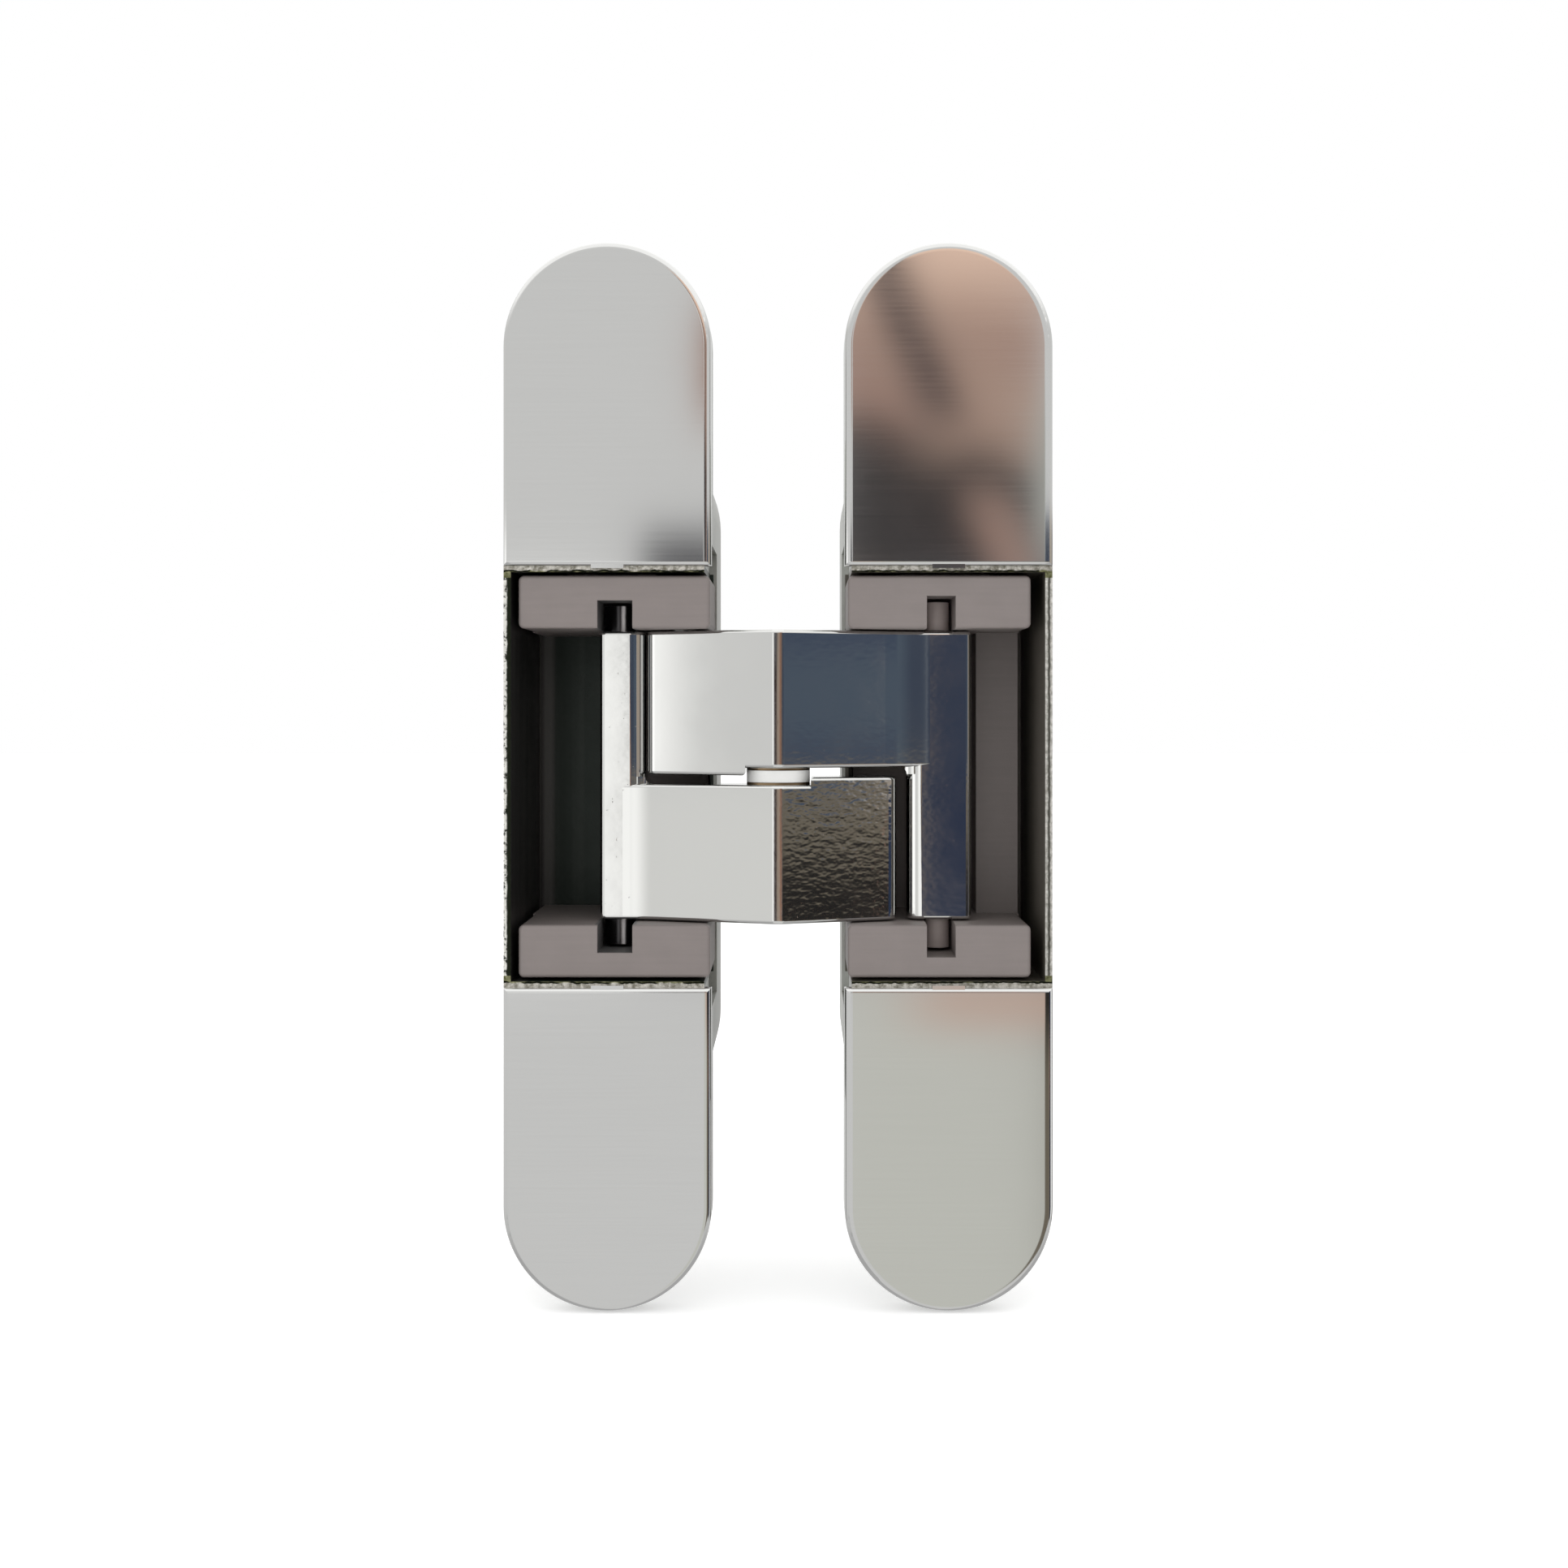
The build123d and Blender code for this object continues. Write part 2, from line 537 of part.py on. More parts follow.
pieces = {
    "left_housing": housing(*left),
    "right_housing": turned(housing(*right)),
    "left_upper_cover": left_cover,
    "left_lower_cover": flipped(left_cover),
    "right_upper_cover": flipped(right_cover),
    "right_lower_cover": right_cover,
    "left_carriage": carriage(LEFT_SIDE_GAP, *left, SLIDE_PIN_RADIUS, LEFT_GROOVE_HEIGHT, plate=False),
    "right_carriage": turned(
        carriage(RIGHT_SIDE_GAP, *right, SLEEVE_RADIUS, RIGHT_GROOVE_HEIGHT, plate=True)
    ),
    "left_upper_adjuster": left_adjuster,
    "left_lower_adjuster": flipped(left_adjuster),
    "right_upper_adjuster": flipped(right_adjuster),
    "right_lower_adjuster": right_adjuster,
    "lower_arm": arm(SLIDE_PIN_RADIUS, LOWER_COLUMN_INNER, LOWER_COLUMN_OUTER, LOWER_END_REACH),
    "upper_arm": turned(arm(SLEEVED_PIN_RADIUS, UPPER_COLUMN_INNER, UPPER_COLUMN_OUTER, UPPER_END_REACH)),
    "left_fixed_pin": turned(fixed_pin()),
    "right_fixed_pin": fixed_pin(),
    "left_pivot_bush": turned(pivot_bush()),
    "right_pivot_bush": pivot_bush(),
    "centre_pin": rod(CENTRE_PIN_RADIUS, -CENTRE_PIN_LENGTH / 2, CENTRE_PIN_LENGTH / 2, CROSS),
    "centre_washer": washer,
    "upper_centre_bush": turned(centre_bush()),
    "lower_centre_bush": centre_bush(),
    "left_slide_pin": rod(SLIDE_PIN_RADIUS, -SLIDE_PIN_LENGTH / 2, SLIDE_PIN_LENGTH / 2, SLIDE_START),
    "right_slide_pin": turned(sleeved_pin()),
    "right_upper_sleeve": flipped(turned(sleeve())),
    "right_lower_sleeve": turned(sleeve()),
}

for name, piece in pieces.items():
    export_step(piece, f"parts/{name}.step")
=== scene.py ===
import json

import bpy
import numpy as np
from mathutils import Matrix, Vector


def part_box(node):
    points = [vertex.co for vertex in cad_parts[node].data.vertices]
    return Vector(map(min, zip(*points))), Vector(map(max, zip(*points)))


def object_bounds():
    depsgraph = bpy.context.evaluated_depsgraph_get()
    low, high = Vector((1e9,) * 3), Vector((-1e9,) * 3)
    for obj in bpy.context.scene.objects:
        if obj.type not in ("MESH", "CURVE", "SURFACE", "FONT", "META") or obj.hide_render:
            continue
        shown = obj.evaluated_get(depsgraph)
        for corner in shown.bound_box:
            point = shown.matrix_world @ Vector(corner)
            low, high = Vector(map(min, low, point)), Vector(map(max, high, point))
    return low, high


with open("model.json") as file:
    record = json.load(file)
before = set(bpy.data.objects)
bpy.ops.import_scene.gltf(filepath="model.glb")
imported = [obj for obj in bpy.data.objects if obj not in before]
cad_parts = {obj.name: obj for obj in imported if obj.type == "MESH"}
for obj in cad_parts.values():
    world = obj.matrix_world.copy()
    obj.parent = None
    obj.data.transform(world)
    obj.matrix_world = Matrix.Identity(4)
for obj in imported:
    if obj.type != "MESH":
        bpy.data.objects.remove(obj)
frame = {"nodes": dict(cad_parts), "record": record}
cad_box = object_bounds()
nodes = frame["nodes"]

# Concealed door hinge, opened flat and seen from the front.
# Metres. X points right, Y away from the viewer, Z up.
MM = 0.001

# View: where the camera stands and what its picture takes in, from the middle of the covers' faces.
VIEW_DISTANCE = 215 * MM
VIEW_ASIDE = 2.35 * MM
VIEW_ABOVE = 6.9 * MM
PICTURE_WIDTH = 172.96 * MM
PICTURE_ASIDE = 0.67 * MM
PICTURE_ABOVE = -0.78 * MM
SENSOR = 36.0
CLIP_START = 10 * MM

# Housings: the walls, how far the cavity's painted shade goes past its ends, the width of the strip of rim
# under a cover's straight edge and how far the strip reaches, and the width of the rim's ragged edge.
SIDE_WALL = 0.8 * MM
BACK_WALL = 1.5 * MM
CAVITY_SPARE = 0.3 * MM
STRIP = 0.34 * MM
STRIP_REACH = 1.05 * MM
RAGGED = 0.5 * MM

# Where a change of colour on a housing starts and ends: for the rim the depth behind its face, for a side
# wall's rim the way in from the outside, for the left cavity's painted gleam the way across from the
# housing's left side.
RIM_END = 0.1 * MM, 0.4 * MM
CHIPS_END = 0.25 * MM, 0.45 * MM
GROOVE_START = 0.15 * MM, 0.35 * MM
GROOVE_END = 0.4 * MM, 0.6 * MM
GREEN_EDGE_END = 0.3 * MM, 0.45 * MM
GLEAM_START = 1.0 * MM, 1.6 * MM
GLEAM_END = 2.1 * MM, 2.9 * MM

# Covers: width and depth of the rolled edge.
EDGE_ROLL = 0.95 * MM
EDGE_DROP = 0.085 * MM

# Arms: half width and depth of the rolled ridge, the way right of the middle to the full orange peel, and its
# depth on each arm.
RIDGE_HALF = 0.5 * MM
RIDGE_DROP = 0.009 * MM
PEEL_FULL = 1.5 * MM
UPPER_PEEL = 0.003 * MM
LOWER_PEEL = 0.014 * MM

# Left carriage: where the painted shade in its groove starts and is full, behind the face, and where it ends
# aside.
NOTCH_SHADE_DEPTH = 0.25 * MM, 0.6 * MM
NOTCH_SHADE_EDGE = 2.1 * MM, 2.4 * MM

# Left slide pin: the painted highlight stripe's place off the axis, where it fades out, and how far that
# wavers.
HIGHLIGHT_ASIDE = 0.5 * MM
HIGHLIGHT_EDGE = 0.1 * MM, 0.42 * MM
HIGHLIGHT_WAVER = 0.1 * MM

# Depth of the grain on the castings, the plastic and the turned pins.
CAST_GRAIN = 0.03 * MM
PLASTIC_GRAIN = 0.012 * MM
TURNED_GRAIN = 0.002 * MM

# Size of the lumps and lines in the finishes.
HAZE = 6 * MM
POLISH_LINE = 0.25 * MM
PEEL = 0.6 * MM
PIT = 0.45 * MM
CHROME_CLOUD = 4 * MM
CAST_CLOUD = 5 * MM
MOTTLE = 0.6 * MM
TEAR = 0.9 * MM
CRACK_BREAK = 3.5 * MM
CAVITY_STREAK = 1.6 * MM
GRAIN = 0.25 * MM
FLOW_LINE = 0.5 * MM
PLASTIC_CLOUD = 3 * MM
TURNED_RING = 0.15 * MM
TARNISH = 1.5 * MM

# Studio.
FLOOR_SIZE = 6.0
FLOOR_DROP = 0.2 * MM
FLOOR_GLOW = 0.35

# Colours of the finishes. A pair is the dark and the pale end of a mottled one.
POLISHED_CHROME = (0.562, 0.562, 0.557), (0.584, 0.584, 0.579)
ARM_CHROME = (0.60, 0.60, 0.59)
CAST_SKIN = (0.38, 0.39, 0.36), (0.50, 0.51, 0.49)
TORN_METAL = (0.20, 0.19, 0.15), (0.75, 0.73, 0.68)
OLIVE = (0.07, 0.08, 0.03), (0.34, 0.34, 0.20)
CRACK = (0.006, 0.008, 0.004)
CHIPPED_WALL = (0.018, 0.022, 0.014), (0.90, 0.90, 0.85)
PALE_WALL = (0.46, 0.45, 0.41), (0.90, 0.89, 0.85)
WALL_GROOVE = (0.09, 0.09, 0.075)
GREEN_EDGE = (0.075, 0.09, 0.065)
# Painted shade of the cavities, deepening the casting's darker inside, and a painted gleam in the left one.
SHADED_CAVITY = (0.022, 0.020, 0.020), (0.050, 0.046, 0.042)
SHADED_GREEN_CAVITY = (0.008, 0.018, 0.012), (0.022, 0.032, 0.025)
PAINTED_CAVITY_GLEAM = (0.090, 0.088, 0.083)
SHADED_RIGHT_CAVITY = (0.13, 0.118, 0.098)
TAUPE = (0.216, 0.187, 0.178)
# Paler than the sleeves' own dark taupe: painted light against the shade in their notch.
LIGHTENED_SLEEVE_TAUPE = (0.43, 0.365, 0.345)
WASHER_WHITE = (0.8, 0.8, 0.78)
# Painted shade deep in the left carriage's groove.
NOTCH_SHADE = (0.10, 0.096, 0.096)
STEEL = (0.56, 0.56, 0.55)
BLACKED_STEEL = (0.060, 0.058, 0.060)
# Painted highlight: the bright stripe down the left slide pin.
PIN_HIGHLIGHT = (0.80, 0.76, 0.75)
BRONZE = (0.24, 0.17, 0.10)
FLOOR_WHITE = (0.95, 0.95, 0.95)

# Colours of the room that the chrome mirrors.
WHITE = (1.50, 1.50, 1.48)
BRIGHT = (1.70, 1.70, 1.68)
SOFT_WHITE = (1.0, 1.0, 0.98)
GREY = (0.93, 0.93, 0.92)
GREEN_GREY = (0.84, 0.845, 0.78)
SILVER = (0.66, 0.68, 0.64)
LOW_GREY = (0.62, 0.62, 0.62)
BLACK = (0.025, 0.024, 0.023)
CHARCOAL = (0.060, 0.055, 0.056)
COLD_DARK = (0.12, 0.12, 0.13)
WARM_DARK = (0.12, 0.11, 0.10)
NAVY = (0.035, 0.050, 0.095)
SLATE = (0.10, 0.132, 0.178)
DEEP_SLATE = (0.069, 0.092, 0.146)
DARK_SLATE = (0.066, 0.084, 0.125)
COPPER = (0.62, 0.36, 0.25)
ORANGE = (1.0, 0.62, 0.42)
BROWN = (0.23, 0.20, 0.155)
BLACK_BROWN = (0.04, 0.020, 0.018)
RIDGE_PALE = (0.46, 0.36, 0.28)
RIDGE_BROWN = (0.38, 0.20, 0.13)
RIDGE_DARK = (0.07, 0.05, 0.04)
PINK_BROWN = (0.54, 0.35, 0.285)
PALE_PINK_BROWN = (0.64, 0.44, 0.35)
DUSKY_PINK = (0.55, 0.36, 0.29)
DARK_PINK = (0.11, 0.085, 0.085)
SALMON = (0.84, 0.61, 0.50)
ROSE = (1.28, 0.92, 0.72)
TAN = (0.48, 0.41, 0.34)
BEIGE = (0.72, 0.65, 0.56)

# What the polished faces mirror: left and right edge in degrees from straight ahead, low and high edge as
# slopes, softness of the sides (degrees) and of the ends (slope), and colour. Later ones lie over earlier.
ROOM = (
    # Ahead of the covers.
    (-20, 20, -30, 0.34, 6.0, 0.06, GREY),
    (0.7, 9.0, -0.50, -0.125, 0.5, 0.02, GREEN_GREY),
    # For the arms left of the ridge and the left column.
    (-110, -48, -0.115, 0.09, 1.2, 0.02, BRIGHT),
    (-48, -15, -0.125, -0.034, 2.0, 0.008, SOFT_WHITE),
    (-23, -8, -0.125, 0.066, 9.0, 0.008, WHITE),
    (-12, -3.4, -0.125, 0.066, 0.4, 0.008, WHITE),
    # For the upper arm right of the ridge and the right column.
    (3.4, 8.0, -0.125, 0.062, 0.3, 0.006, NAVY),
    (8, 47, -0.031, 0.10, 1.5, 0.002, SLATE),
    (6, 26, -0.031, 0.10, 8.0, 0.002, DARK_SLATE),
    (34, 47, 0.033, 0.10, 1.5, 0.004, DEEP_SLATE),
    (34, 47, -0.034, -0.013, 1.5, 0.010, DEEP_SLATE),
    # For the lower arm right of the ridge.
    (8, 50, -0.35, -0.031, 1.5, 0.002, BROWN),
    (8, 50, -0.165, -0.070, 1.5, 0.022, BLACK),
    (41, 50, -0.195, -0.165, 1.5, 0.010, ORANGE),
    (48.2, 48.9, -0.35, -0.034, 0.2, 0.010, COPPER),
    (48.8, 80, -0.35, -0.034, 0.2, 0.010, NAVY),
    (80, 115, -0.35, -0.034, 2.0, 0.010, WHITE),
    # For the right flanks of the columns.
    (47, 80, -0.034, 0.10, 2.0, 0.010, TAN),
    (80, 115, -0.034, 0.10, 5.0, 0.010, BEIGE),
    (115, 160, -0.35, 0.10, 8.0, 0.010, WARM_DARK),
    # For the ridge.
    (-4.6, -1.5, -0.125, 0.062, 0.3, 0.008, BLACK_BROWN),
    (-1.5, 0.6, -0.125, 0.062, 0.3, 0.008, RIDGE_PALE),
    (0.6, 2.5, -0.125, 0.062, 0.3, 0.008, RIDGE_BROWN),
    (2.5, 3.4, -0.125, 0.062, 0.3, 0.008, RIDGE_DARK),
    # For the upper left cover's right side and the lower right cover's straight edge.
    (-4.6, -1.0, 0.030, 0.094, 0.5, 0.014, COLD_DARK),
    (-3.0, -1.0, 0.150, 0.210, 0.3, 0.020, DUSKY_PINK),
    (3.4, 9.0, -0.160, -0.135, 1.5, 0.010, SALMON),
)
# Slopes between which the room goes from low grey to grey, and from grey to white.
LOW_FADE = -0.9, -0.1
HIGH_FADE = 0.30, 0.75
# Cloudy brown stretch for the upper right cover: where it lies, the size of its clouds, the slopes between
# which dark turns to brown, how far the clouds move them, and the slopes between which brown turns to rose.
CLOUDS = (0.7, 7.3, 0.066, 0.34, 0.3, 0.006)
CLOUD_SIZE = 0.05
BROWN_FADE = 0.152, 0.182
CLOUD_WAVER = 0.05
ROSE_FADE = 0.185, 0.255
# A dark streak in the brown and a brown one in the dark: their slant, how far off its middle line a streak
# starts to fade and is gone (radians), and for each its place and the slopes between which it starts or ends.
STREAK_SLANT = 0.42
STREAK_EDGE = 0.0036, 0.0204
DARK_STREAK = 0.139
DARK_STREAK_START = 0.135, 0.165
BROWN_STREAK = 0.142
BROWN_STREAK_END = 0.100, 0.128
# Pale stretch at the right of the clouds.
PALE_EDGE = (6.9, 9.5, 0.080, 0.16, 0.3, 0.03)
# Least level run that a slope is worked out on, for directions close to straight up and down.
LEAST_RUN = 0.02


# Places taken from the CAD pieces.
left_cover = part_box("left_upper_cover")
right_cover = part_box("right_lower_cover")
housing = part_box("left_housing")
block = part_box("left_carriage")
face_y = left_cover[0].y
rim_y = housing[0].y
back_y = housing[1].y
middle = Vector(((left_cover[0].x + right_cover[1].x) / 2, face_y, 0))
leaf_half = (housing[1].x - housing[0].x) / 2
leaf_offset = middle.x - (housing[0].x + leaf_half)
cavity_half = left_cover[0].z
straight_half = left_cover[1].z - leaf_half
centre_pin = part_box("centre_pin")
ridge_x = (centre_pin[0].x + centre_pin[1].x) / 2
slide_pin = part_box("left_slide_pin")
pin_x = (slide_pin[0].x + slide_pin[1].x) / 2


class Value:
    """A shader value: the output of a node, with the operators that add Math nodes."""

    def __init__(self, finish, socket):
        self.finish = finish
        self.socket = socket

    def __add__(self, other):
        return self.finish.maths("ADD", self, other)

    def __radd__(self, other):
        return self.finish.maths("ADD", other, self)

    def __sub__(self, other):
        return self.finish.maths("SUBTRACT", self, other)

    def __rsub__(self, other):
        return self.finish.maths("SUBTRACT", other, self)

    def __mul__(self, other):
        return self.finish.maths("MULTIPLY", self, other)

    def __rmul__(self, other):
        return self.finish.maths("MULTIPLY", other, self)

    def __truediv__(self, other):
        return self.finish.maths("DIVIDE", self, other)

    def __gt__(self, other):
        return self.finish.maths("GREATER_THAN", self, other)

    def __lt__(self, other):
        return self.finish.maths("LESS_THAN", self, other)

    def __neg__(self):
        return self.finish.maths("MULTIPLY", self, -1.0)

    def __abs__(self):
        return self.finish.maths("ABSOLUTE", self)


class Finish:
    """A surface finish, or the studio's light: one node tree, put together node by node."""

    def __init__(self, owner, place="Object"):
        self.owner = owner
        self.owner.use_nodes = True
        self.tree = self.owner.node_tree
        self.tree.nodes.clear()
        self.place = self.node("ShaderNodeTexCoord")[place]

    def node(self, kind, settings=None, values=None):
        """Adds a node: settings first, then the value or link of each socket. Gives its outputs by name."""
        node = self.tree.nodes.new(kind)
        for name, setting in (settings or {}).items():
            setattr(node, name, setting)
        inputs = [socket for socket in node.inputs if socket.enabled]
        named = {socket.name: socket for socket in reversed(inputs)}
        for key, value in (values or {}).items():
            socket = inputs[key] if isinstance(key, int) else named[key]
            if isinstance(value, Value):
                self.tree.links.new(value.socket, socket)
            elif socket.type == "RGBA" and len(value) == 3:
                socket.default_value = (*value, 1.0)
            else:
                socket.default_value = value
        return {socket.name: Value(self, socket) for socket in node.outputs if socket.enabled}

    def maths(self, operation, *values):
        return self.node("ShaderNodeMath", {"operation": operation}, dict(enumerate(values)))["Value"]

    def noise(self, size, detail=2.0, roughness=0.5, place=None):
        """Cloudy values about 0.5 whose lumps are about this size."""
        values = {"Vector": place or self.place, "Scale": 1 / size, "Detail": detail, "Roughness": roughness}
        return self.node("ShaderNodeTexNoise", None, values)["Fac"]

    def ramp(self, value, low, high):
        """0 below low, 1 above high and smooth between."""
        settings = {"interpolation_type": "SMOOTHSTEP", "clamp": True}
        values = {"Value": value, "From Min": low, "From Max": high}
        return self.node("ShaderNodeMapRange", settings, values)["Result"]

    def blend(self, share, first, second):
        """Colour that goes from first to second with share."""
        values = {"Factor": share, "A": first, "B": second}
        return self.node("ShaderNodeMix", {"data_type": "RGBA"}, values)["Result"]

    def stretched(self, x, y, z):
        """Place with each axis scaled, so that a pattern is drawn out along the axes with small factors."""
        return self.node("ShaderNodeMapping", None, {"Vector": self.place, "Scale": (x, y, z)})["Vector"]

    def axes(self):
        parts = self.node("ShaderNodeSeparateXYZ", None, {"Vector": self.place})
        return parts["X"], parts["Y"], parts["Z"]

    def bump(self, height, depth=1.0):
        """Normal of a surface raised by height times depth, in metres."""
        values = {"Height": height, "Distance": depth, "Strength": 1.0}
        return self.node("ShaderNodeBump", None, values)["Normal"]

    def surface(self, **values):
        """Closes the finish with its shader; names with spaces are given with underscores."""
        inputs = {name.replace("_", " "): value for name, value in values.items()}
        shader = self.node("ShaderNodeBsdfPrincipled", None, inputs)["BSDF"]
        self.node("ShaderNodeOutputMaterial", None, {"Surface": shader})
        return self.owner


def new_finish(name):
    return Finish(bpy.data.materials.new(name))


def shaded(colour, factor):
    return tuple(factor * part for part in colour)


def off_leaf_middle(x):
    """Distance left or right of the middle of the nearer leaf."""
    return abs(abs(x - middle.x) - leaf_offset)


def bright_chrome():
    """Polished chrome of the covers: faint lines of the last polishing, which rolled the edge off a little.

    The edge is a stadium's, and the surface drops by the square of the way from the roll's start to it.
    """
    finish = new_finish("bright_chrome")
    x, _, z = finish.axes()
    aside = off_leaf_middle(x)
    beyond = finish.maths("MAXIMUM", abs(z) - straight_half, 0.0)
    inset = leaf_half - finish.maths("SQRT", aside * aside + beyond * beyond)
    roll = finish.maths("MAXIMUM", 1 - inset / EDGE_ROLL, 0.0)
    normal = finish.bump(1 - roll * roll, EDGE_DROP)

    haze = finish.noise(HAZE, 3.0)
    lines = finish.noise(POLISH_LINE, 2.0, place=finish.stretched(0.02, 1, 1))
    base = finish.blend(lines, *POLISHED_CHROME)
    roughness = 0.05 + 0.02 * haze + 0.02 * lines
    return finish.surface(Base_Color=base, Metallic=1.0, Roughness=roughness, Normal=normal)


def cast_chrome(name, peel_depth):
    """Chrome over a die-cast arm: a rolled ridge, orange peel right of it, a few pits everywhere."""
    finish = new_finish(name)
    x, _, _ = finish.axes()
    peel = finish.noise(PEEL, 1.0, place=finish.stretched(0.6, 1, 1))
    pits = finish.ramp(finish.noise(PIT, 1.0), 0.77, 0.83)
    share = 0.12 + 0.88 * finish.ramp(x, middle.x, middle.x + PEEL_FULL)
    away = finish.maths("MINIMUM", abs(x - ridge_x) / RIDGE_HALF, 1.0)
    normal = finish.bump(peel_depth * (peel * share - 0.3 * pits) - RIDGE_DROP * away * away)
    roughness = 0.04 + 0.06 * finish.noise(CHROME_CLOUD)
    return finish.surface(Base_Color=ARM_CHROME, Metallic=1.0, Roughness=roughness, Normal=normal)


def strip_colour(finish, mottle, below):
    """Rim under a cover, by the way below its edge: torn metal, then olive, and a broken crack between."""
    colour = finish.blend(mottle, *TORN_METAL)
    olive = finish.blend(mottle, *OLIVE)
    colour = finish.blend(finish.ramp(below, STRIP / 2, STRIP), colour, olive)
    crack = finish.ramp(below, STRIP / 2, 0.7 * STRIP) * (1 - finish.ramp(below, STRIP, 1.3 * STRIP))
    crack = crack * finish.ramp(finish.noise(CRACK_BREAK, 1.0), 0.40, 0.46)
    return finish.blend(crack, colour, CRACK)


def wall_colour(finish, mottle, x, within):
    """Rim of the side walls, by the way in from the outside.

    The left leaf's left wall is dark with a chipped edge. The others are pale with a dark groove, and the
    left leaf's right wall has a green edge besides.
    """
    chipped = finish.ramp(mottle, 0.10, 0.55) * (1 - finish.ramp(within, *CHIPS_END))
    dark = finish.blend(chipped, *CHIPPED_WALL)
    groove = finish.ramp(within, *GROOVE_START) * (1 - finish.ramp(within, *GROOVE_END))
    pale = finish.blend(groove, finish.blend(mottle, *PALE_WALL), WALL_GROOVE)
    green = finish.blend(finish.ramp(within, *GREEN_EDGE_END), GREEN_EDGE, pale)
    left_leaf = finish.blend(x > middle.x - leaf_offset, dark, green)
    return finish.blend(x > middle.x, left_leaf, pale)


def cavity_shade_colour(finish, x):
    """Painted shade inside a cavity, deepening the casting's darker inside: brown on the right leaf; on the
    left streaked, dark, then a painted gleam, then green.
    """
    upright = finish.noise(CAVITY_STREAK, 2.0, place=finish.stretched(1, 1, 0.02))
    streaks = finish.ramp(upright, 0.45, 0.75)
    across = x - housing[0].x
    beyond = finish.ramp(across, *GLEAM_END)
    gleam = finish.ramp(across, *GLEAM_START) * (1 - beyond)
    dark = finish.blend(streaks, *SHADED_CAVITY)
    green = finish.blend(streaks, *SHADED_GREEN_CAVITY)
    colour = finish.blend(gleam, finish.blend(beyond, dark, green), PAINTED_CAVITY_GLEAM)
    return finish.blend(x > middle.x, colour, SHADED_RIGHT_CAVITY)


def cast_housing():
    """Zinc casting: satin outside, ragged on the rim, nearly black inside the cavity with painted shade and a
    painted gleam.
    """
    finish = new_finish("cast_housing")
    x, y, z = finish.axes()
    aside = off_leaf_middle(x)
    height = abs(z)
    cloud = finish.noise(CAST_CLOUD, 3.0)
    mottle = finish.ramp(finish.noise(MOTTLE, 4.0, 0.65), 0.28, 0.72)
    ragged = RAGGED * (finish.noise(TEAR, 3.0) - 0.5)

    rim = 1 - finish.ramp(y - rim_y, *RIM_END)
    strip = strip_colour(finish, mottle, cavity_half - height + ragged)
    wall = wall_colour(finish, mottle, x, leaf_half - aside + 0.5 * ragged)
    torn = finish.blend(height < cavity_half - STRIP_REACH, strip, wall)
    base = finish.blend(rim, finish.blend(cloud, *CAST_SKIN), torn)

    # Painted shade: within the walls and behind the rim the cavity takes its painted dark colour.
    inside = (aside < leaf_half - SIDE_WALL / 2) * (height < cavity_half + CAVITY_SPARE)
    inside = inside * (y < back_y - BACK_WALL / 2) * (1 - rim)
    base = finish.blend(inside, base, cavity_shade_colour(finish, x))
    metallic = 1 - 0.7 * inside
    roughness = 0.30 + 0.15 * cloud
    normal = finish.bump(mottle * (0.2 + rim), CAST_GRAIN)
    return finish.surface(Base_Color=base, Metallic=metallic, Roughness=roughness, Normal=normal)


def plastic(name, colour, groove_x=None):
    """Moulded plastic: fine grain, faint flow lines across and a cloudy colour; painted shade darkens a
    groove.
    """
    finish = new_finish(name)
    grain = finish.noise(GRAIN, 2.0)
    flow = finish.noise(FLOW_LINE, 2.0, place=finish.stretched(0.05, 0.3, 1))
    cloud = 0.5 * finish.noise(PLASTIC_CLOUD, 3.0) + 0.5 * flow
    base = finish.blend(cloud, shaded(colour, 0.88), shaded(colour, 1.12))
    if groove_x is not None:
        x, y, _ = finish.axes()
        # Painted shade deep in the groove round the pin.
        deep = finish.ramp(y - block[0].y, *NOTCH_SHADE_DEPTH)
        notch_shade = deep * (1 - finish.ramp(abs(x - groove_x), *NOTCH_SHADE_EDGE))
        base = finish.blend(notch_shade, base, NOTCH_SHADE)
    normal = finish.bump(grain + 0.5 * flow, PLASTIC_GRAIN)
    return finish.surface(Base_Color=base, Roughness=0.42 + 0.16 * grain, Normal=normal)


def metal(name, colour, roughness, highlight_x=None):
    """Turned metal: fine rings round the upright pins, cloudy tarnish, a painted highlight stripe along one.
    """
    finish = new_finish(name)
    rings = finish.noise(TURNED_RING, 2.0, place=finish.stretched(0.05, 0.05, 1))
    tarnish = finish.noise(TARNISH, 3.0)
    base = finish.blend(tarnish, shaded(colour, 0.85), shaded(colour, 1.1))
    metallic = 1.0
    if highlight_x is not None:
        x, _, _ = finish.axes()
        # Painted highlight: a bright stripe along the pin, off its axis.
        highlight = 1 - finish.ramp(abs(x - highlight_x) + HIGHLIGHT_WAVER * tarnish, *HIGHLIGHT_EDGE)
        base = finish.blend(highlight, base, PIN_HIGHLIGHT)
        metallic = 1 - highlight
    uneven = roughness + 0.1 * rings
    normal = finish.bump(rings, TURNED_GRAIN)
    return finish.surface(Base_Color=base, Metallic=metallic, Roughness=uneven, Normal=normal)


def pale_floor():
    """Plain white studio floor that glows a little, so that it stays as white as the room."""
    finish = new_finish("pale_floor")
    glow = {"Emission_Color": (1, 1, 1), "Emission_Strength": FLOOR_GLOW}
    return finish.surface(Base_Color=FLOOR_WHITE, Roughness=0.9, **glow)


def dress(name, finish):
    """Gives a CAD piece its finish."""
    nodes[name].data.materials.clear()
    nodes[name].data.materials.append(finish)


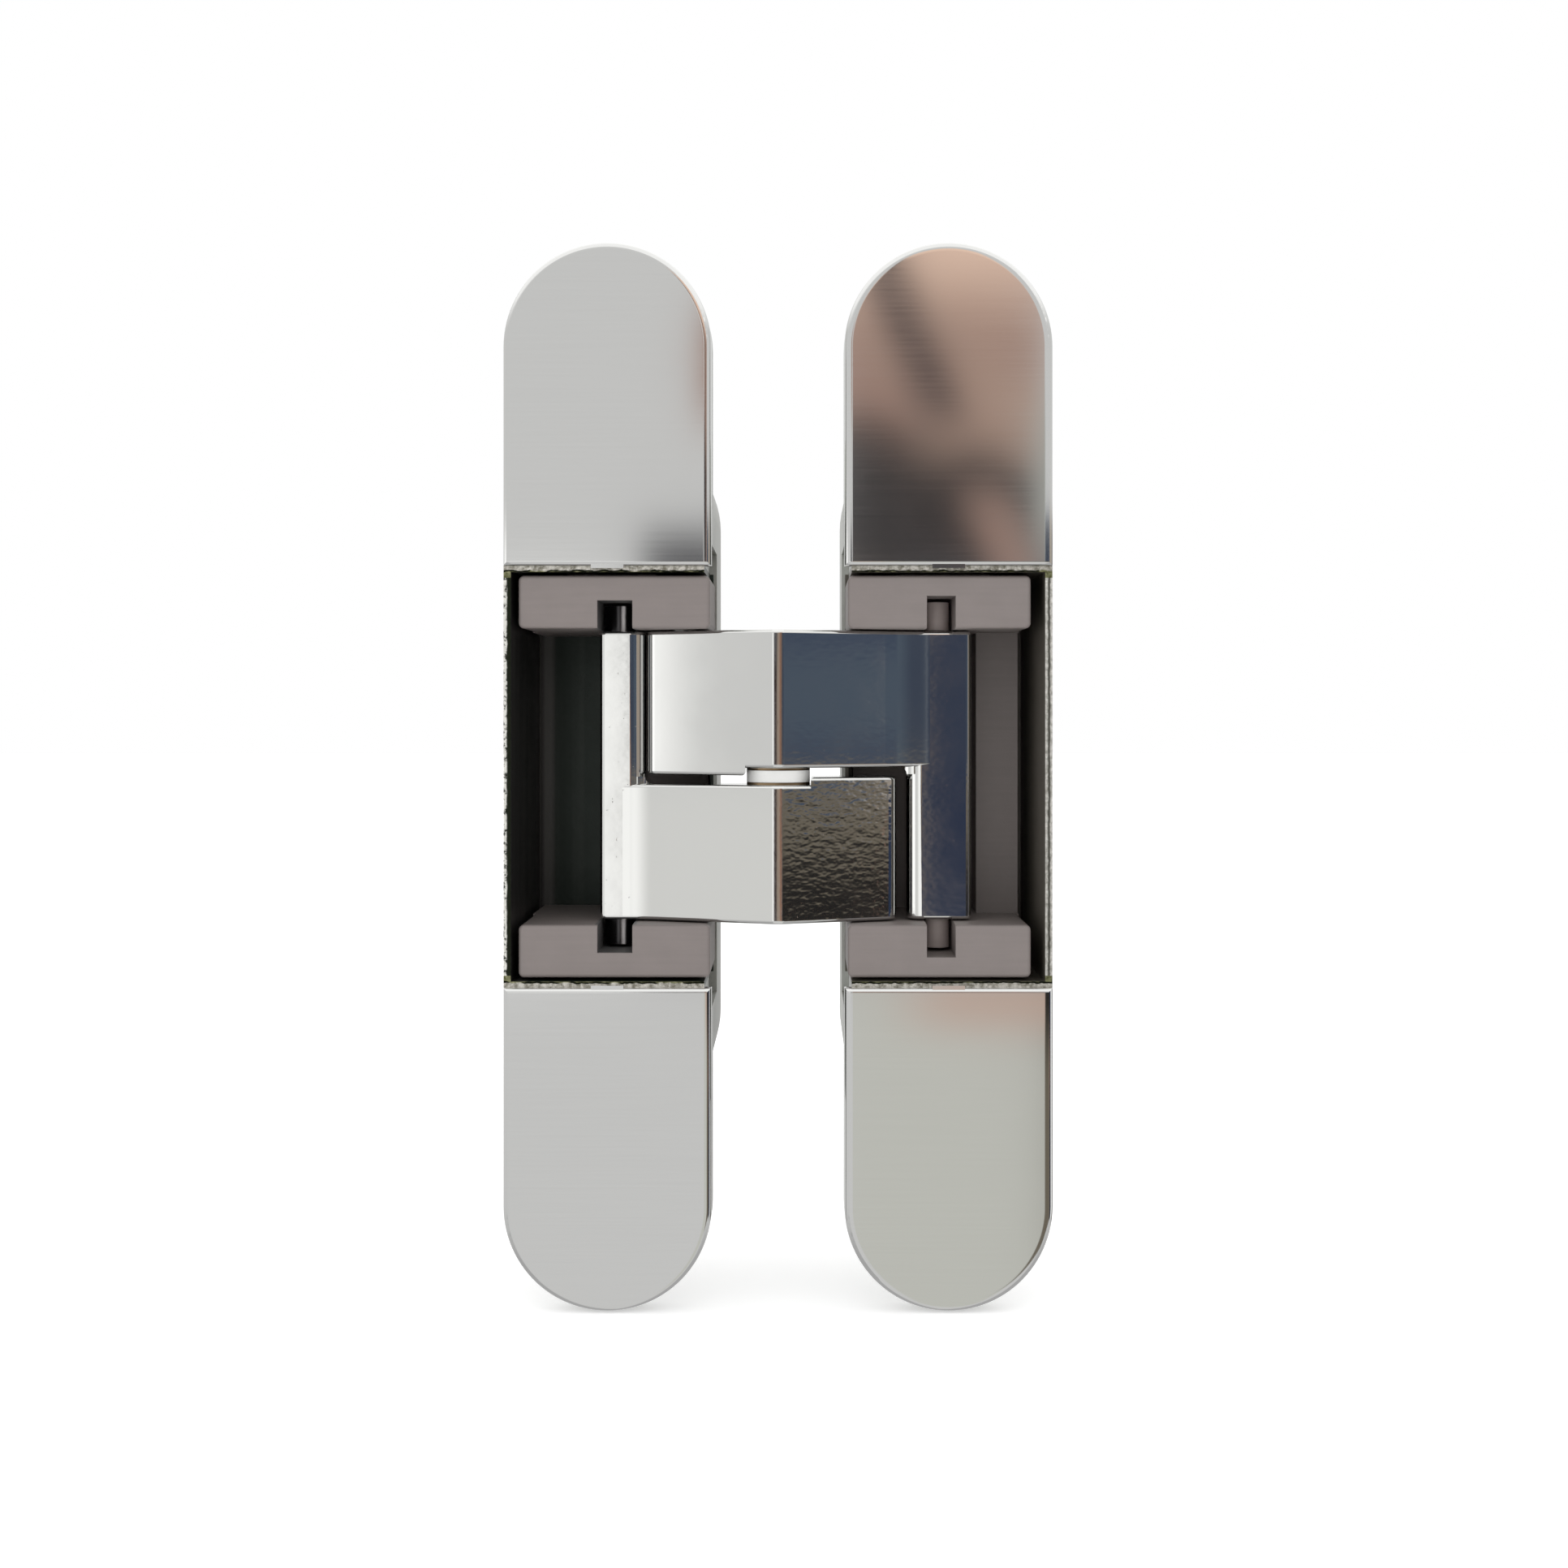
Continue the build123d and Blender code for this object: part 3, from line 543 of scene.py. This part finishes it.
FINISHES = {
    "chrome": bright_chrome(),
    "cast_metal": cast_housing(),
    "steel": metal("turned_steel", STEEL, 0.25),
    # The left slide pin gets a painted highlight stripe.
    "black_steel": metal("blacked_steel", BLACKED_STEEL, 0.2, pin_x + HIGHLIGHT_ASIDE),
    "bearing_bronze": metal("bearing_bronze", BRONZE, 0.35),
    "taupe_plastic": plastic("taupe_plastic", TAUPE),
    # Sleeves: made paler than their own colour, painted light against the notch's shade.
    "dark_taupe_plastic": plastic("dark_taupe_plastic", LIGHTENED_SLEEVE_TAUPE),
    "white_plastic": plastic("white_plastic", WASHER_WHITE),
}
for part in frame["record"]["subparts"]:
    dress(part["node"], FINISHES[part["material_slot"]])
# The left carriage gets painted shade in the groove round its slide pin.
dress("left_carriage", plastic("notch_shaded_taupe_plastic", TAUPE, pin_x))
dress("upper_arm", cast_chrome("upper_arm", UPPER_PEEL))
dress("lower_arm", cast_chrome("lower_arm", LOWER_PEEL))


def light_room(world):
    """White room by direction: bearing from straight ahead of the hinge, and slope above level.

    Only mirrored light sees the room's colours. All other light is plain white.
    """
    room = Finish(world, "Generated")
    x, y, z = room.axes()
    bearing = room.maths("ARCTAN2", x, -y)
    slope = z / room.maths("MAXIMUM", room.maths("SQRT", x * x + y * y), LEAST_RUN)

    def zone(left, right, low, high, soft_side, soft_end):
        """1 between the edges and 0 outside them, with soft sides and ends."""
        left, right, soft_side = np.radians((left, right, soft_side))
        sides = room.ramp(bearing, left - soft_side, left + soft_side)
        sides = sides * (1 - room.ramp(bearing, right - soft_side, right + soft_side))
        ends = room.ramp(slope, low - soft_end, low + soft_end)
        return sides * ends * (1 - room.ramp(slope, high - soft_end, high + soft_end))

    def streak(place):
        """1 on a slanted line and 0 away from it; the line meets slope 0 at this bearing."""
        away = abs(bearing + STREAK_SLANT * slope - place)
        return 1 - room.ramp(away, *STREAK_EDGE)

    shade = room.blend(room.ramp(slope, *LOW_FADE), LOW_GREY, GREY)
    shade = room.blend(room.ramp(slope, *HIGH_FADE), shade, WHITE)
    for *edges, colour in ROOM:
        shade = room.blend(zone(*edges), shade, colour)

    lumps = room.noise(CLOUD_SIZE, 1.0)
    warm = room.blend(room.ramp(lumps, 0.35, 0.65), PINK_BROWN, PALE_PINK_BROWN)
    warm = room.blend(room.ramp(slope, *ROSE_FADE), warm, ROSE)
    high_streak = streak(DARK_STREAK) * room.ramp(slope, *DARK_STREAK_START)
    warm = room.blend(high_streak, warm, DARK_PINK)
    low_streak = streak(BROWN_STREAK) * (1 - room.ramp(slope, *BROWN_STREAK_END))
    dark = room.blend(low_streak, CHARCOAL, PINK_BROWN)
    brown = room.ramp(slope + CLOUD_WAVER * lumps, *BROWN_FADE)
    shade = room.blend(zone(*CLOUDS), shade, room.blend(brown, dark, warm))
    shade = room.blend(zone(*PALE_EDGE), shade, SILVER)

    plain = room.node("ShaderNodeBackground", None, {"Color": (1, 1, 1)})["Background"]
    mirror = room.node("ShaderNodeBackground", None, {"Color": shade})["Background"]
    mirrored = room.node("ShaderNodeLightPath")["Is Glossy Ray"]
    light = room.node("ShaderNodeMixShader", None, {0: mirrored, 1: plain, 2: mirror})["Shader"]
    room.node("ShaderNodeOutputWorld", None, {"Surface": light})


def flat_floor(name, centre, half, finish):
    """Level square: its corners lie half a side left or right of the centre and before or behind it."""
    signs = np.array(((-1, -1, 0), (1, -1, 0), (1, 1, 0), (-1, 1, 0)))
    corners = np.array(centre) + half * signs
    mesh = bpy.data.meshes.new(name)
    mesh.from_pydata(corners.tolist(), [], [(0, 1, 2, 3)])
    mesh.materials.append(finish)
    piece = bpy.data.objects.new(name, mesh)
    bpy.context.scene.collection.objects.link(piece)
    return piece


# Camera.
lens = bpy.data.cameras.new("view")
lens.sensor_width = SENSOR
lens.lens = SENSOR * VIEW_DISTANCE / PICTURE_WIDTH
lens.shift_x = (PICTURE_ASIDE - VIEW_ASIDE) / PICTURE_WIDTH
lens.shift_y = (PICTURE_ABOVE - VIEW_ABOVE) / PICTURE_WIDTH
lens.clip_start = CLIP_START
camera = bpy.data.objects.new("view", lens)
bpy.context.scene.collection.objects.link(camera)
camera.location = middle + Vector((VIEW_ASIDE, -VIEW_DISTANCE, VIEW_ABOVE))
camera.rotation_euler = (np.pi / 2, 0, 0)
bpy.context.scene.camera = camera

# Floor and light. The chrome does not mirror the floor.
floor_middle = (middle.x, 0, cad_box[0].z - FLOOR_DROP)
floor = flat_floor("floor", floor_middle, FLOOR_SIZE / 2, pale_floor())
floor.visible_glossy = False
world = bpy.data.worlds.new("studio")
bpy.context.scene.world = world
light_room(world)
bpy.context.scene.view_settings.view_transform = "Standard"
